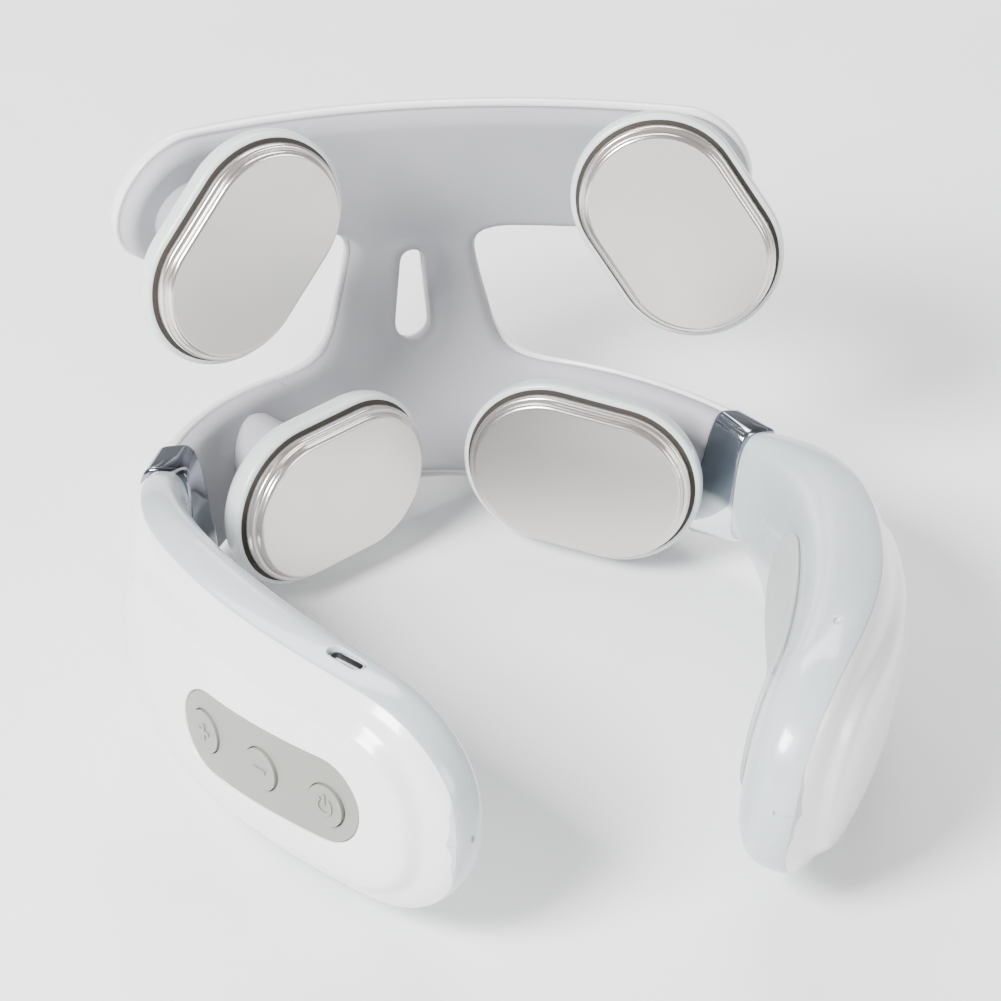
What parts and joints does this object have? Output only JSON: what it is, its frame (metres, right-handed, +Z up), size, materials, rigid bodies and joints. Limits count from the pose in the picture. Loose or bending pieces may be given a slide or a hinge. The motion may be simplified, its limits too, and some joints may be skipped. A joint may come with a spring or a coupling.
{
  "type": "shiatsu neck massager",
  "caption": "U-shaped neck massager with a sprung band, an upper wing, two hollow arms, floating steel-faced massage heads and a button panel.",
  "frame": {"origin": "centre of the bounding box at the table, standing on both arms and the foot of the back cover", "axes": "+Z up from the table; +X to the wearer's left as drawn, across the arms; +Y towards the back of the neck, the open side faces -Y"},
  "size_m": [0.169, 0.196, 0.1032],
  "materials": {
    "white_shell": "gloss",
    "cool_shell": "satin gloss",
    "grey_liner": "matte soft touch",
    "grey_panel": "satin",
    "head_base": "satin",
    "polished_steel": "polished",
    "chrome_trim": "polished",
    "dark_seal": "matte",
    "spring_steel": "plain",
    "soft_silicone": "translucent silicone",
    "acetal": "natural",
    "circuit_board": "solder mask",
    "black_component": "matte",
    "heater_film": "film",
    "cable_jacket": "matte",
    "cell_wrap": "pouch foil",
    "screw_steel": "plain"
  },
  "bodies": {
    "back": {"back_outer_cover": "white_shell", "back_inner_liner": "grey_liner", "spring_strip": "spring_steel", "wire_harness": "cable_jacket", "upper_left_head_cup": "acetal", "upper_right_head_cup": "acetal", "lower_left_head_cup": "acetal", "lower_right_head_cup": "acetal", "upper_left_head_spring": "soft_silicone", "upper_right_head_spring": "soft_silicone", "lower_left_head_spring": "soft_silicone", "lower_right_head_spring": "soft_silicone"},
    "left_arm": {"left_collar": "chrome_trim", "left_arm_outer_cover": "white_shell", "left_arm_inner_shell": "cool_shell", "left_arm_comfort_pad": "grey_panel", "left_arm_screws": "screw_steel", "control_panel": "grey_panel", "main_board": "circuit_board", "tact_switches": "black_component", "board_chips": "black_component", "pulse_transformer": "black_component", "charging_port": "spring_steel", "voice_speaker": "black_component"},
    "right_arm": {"right_collar": "chrome_trim", "right_arm_outer_cover": "white_shell", "right_arm_inner_shell": "cool_shell", "right_arm_comfort_pad": "grey_panel", "right_arm_screws": "screw_steel", "battery_cell": "cell_wrap", "battery_guard_board": "circuit_board"},
    "plus_button": {"plus_button": "grey_panel"},
    "minus_button": {"minus_button": "grey_panel"},
    "power_button": {"power_button": "grey_panel"},
    "upper_left_plunger": {"upper_left_head_plunger": "acetal"},
    "upper_left_head": {"upper_left_head_plate": "polished_steel", "upper_left_head_gasket": "dark_seal", "upper_left_head_heater": "heater_film", "upper_left_head_base": "head_base"},
    "upper_right_plunger": {"upper_right_head_plunger": "acetal"},
    "upper_right_head": {"upper_right_head_plate": "polished_steel", "upper_right_head_gasket": "dark_seal", "upper_right_head_heater": "heater_film", "upper_right_head_base": "head_base"},
    "lower_left_plunger": {"lower_left_head_plunger": "acetal"},
    "lower_left_head": {"lower_left_head_plate": "polished_steel", "lower_left_head_gasket": "dark_seal", "lower_left_head_heater": "heater_film", "lower_left_head_base": "head_base"},
    "lower_right_plunger": {"lower_right_head_plunger": "acetal"},
    "lower_right_head": {"lower_right_head_plate": "polished_steel", "lower_right_head_gasket": "dark_seal", "lower_right_head_heater": "heater_film", "lower_right_head_base": "head_base"}
  },
  "joints": [
    {"name": "left_arm_flex", "type": "hinge", "parent": "back", "child": "left_arm", "pos_m": [-0.05, 0.0568, 0.0177], "axis": [0, -0.1616, -0.9869], "range_deg": [-4, 12], "stiffness_Nm_per_rad": 3, "deforming": ["back_outer_cover", "back_inner_liner", "spring_strip", "wire_harness"]},
    {"name": "right_arm_flex", "type": "hinge", "parent": "back", "child": "right_arm", "pos_m": [0.05, 0.0568, 0.0177], "axis": [0, 0.1616, 0.9869], "range_deg": [-4, 12], "stiffness_Nm_per_rad": 3, "deforming": ["back_outer_cover", "back_inner_liner", "spring_strip", "wire_harness"]},
    {"name": "plus_button_press", "type": "slide", "parent": "left_arm", "child": "plus_button", "axis": [0.9286, 0.3683, 0.0456], "range_m": [0, 0.0005], "stiffness_N_per_m": 3000, "springref_m": -0.0002},
    {"name": "minus_button_press", "type": "slide", "parent": "left_arm", "child": "minus_button", "axis": [0.8855, 0.4638, 0.03], "range_m": [0, 0.0005], "stiffness_N_per_m": 3000, "springref_m": -0.0002},
    {"name": "power_button_press", "type": "slide", "parent": "left_arm", "child": "power_button", "axis": [0.8389, 0.544, 0.0168], "range_m": [0, 0.0005], "stiffness_N_per_m": 3000, "springref_m": -0.0002},
    {"name": "upper_left_head_press", "type": "slide", "parent": "back", "child": "upper_left_plunger", "axis": [-0.2881, 0.9356, -0.2039], "range_m": [0, 0.0024], "stiffness_N_per_m": 2500, "springref_m": -0.0004, "deforming": ["upper_left_head_spring"]},
    {"name": "upper_left_head_tilt", "type": "hinge", "parent": "upper_left_plunger", "child": "upper_left_head", "pos_m": [-0.05035, 0.05744, 0.07732], "axis": [-0.5596, -0.3373, -0.757], "range_deg": [-6, 6], "stiffness_Nm_per_rad": 1.2},
    {"name": "upper_right_head_press", "type": "slide", "parent": "back", "child": "upper_right_plunger", "axis": [0.2881, 0.9356, -0.2039], "range_m": [0, 0.0024], "stiffness_N_per_m": 2500, "springref_m": -0.0004, "deforming": ["upper_right_head_spring"]},
    {"name": "upper_right_head_tilt", "type": "hinge", "parent": "upper_right_plunger", "child": "upper_right_head", "pos_m": [0.05035, 0.05744, 0.07732], "axis": [0.5596, -0.3373, -0.757], "range_deg": [-6, 6], "stiffness_Nm_per_rad": 1.2},
    {"name": "lower_left_head_press", "type": "slide", "parent": "back", "child": "lower_left_plunger", "axis": [-0.4801, 0.8657, -0.1418], "range_m": [0, 0.0024], "stiffness_N_per_m": 2500, "springref_m": -0.0004, "deforming": ["lower_left_head_spring"]},
    {"name": "lower_left_head_tilt", "type": "hinge", "parent": "lower_left_plunger", "child": "lower_left_head", "pos_m": [-0.03132, 0.04256, 0.02246], "axis": [-0.8709, -0.4898, -0.0415], "range_deg": [-6, 6], "stiffness_Nm_per_rad": 1.2},
    {"name": "lower_right_head_press", "type": "slide", "parent": "back", "child": "lower_right_plunger", "axis": [0.4801, 0.8657, -0.1418], "range_m": [0, 0.0024], "stiffness_N_per_m": 2500, "springref_m": -0.0004, "deforming": ["lower_right_head_spring"]},
    {"name": "lower_right_head_tilt", "type": "hinge", "parent": "lower_right_plunger", "child": "lower_right_head", "pos_m": [0.03132, 0.04256, 0.02246], "axis": [0.8709, -0.4898, -0.0415], "range_deg": [-6, 6], "stiffness_Nm_per_rad": 1.2}
  ]
}
